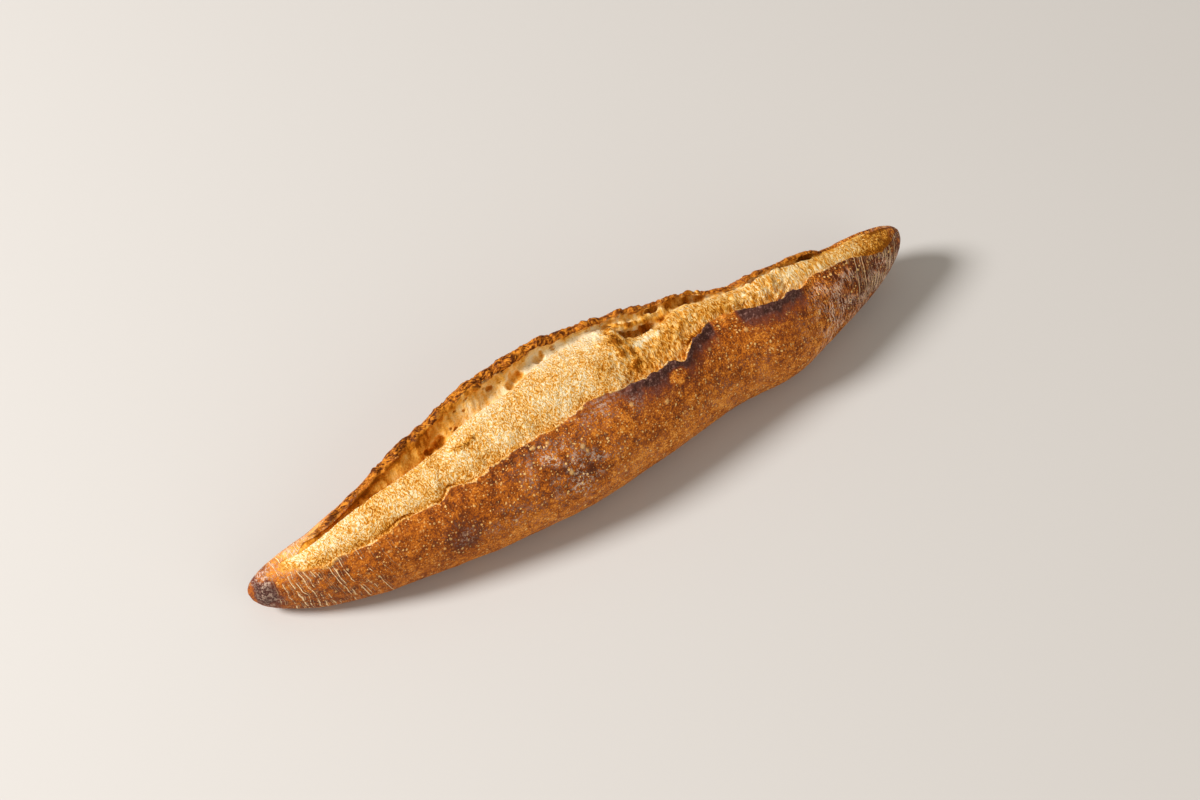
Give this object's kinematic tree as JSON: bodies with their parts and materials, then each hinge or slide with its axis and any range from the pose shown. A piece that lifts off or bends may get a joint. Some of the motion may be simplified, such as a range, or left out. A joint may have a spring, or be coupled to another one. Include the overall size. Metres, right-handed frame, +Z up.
{
  "type": "baguette",
  "caption": "Long tapered baguette lying on its flat underside, its top slashed open lengthwise over pale torn crumb, with a raised ear of crust along the far side.",
  "frame": {"origin": "centre of the loaf's box, on the surface that its flat underside rests on", "axes": "+X along the loaf to its right tip, +Y to the far side that carries the ear, +Z up"},
  "size_m": [0.4, 0.0802, 0.0648],
  "materials": {
    "crust": "matte golden-brown crust, dusted with flour, pale toasted crumb in the slash"
  },
  "bodies": {
    "root": {"loaf": "crust"}
  },
  "joints": []
}
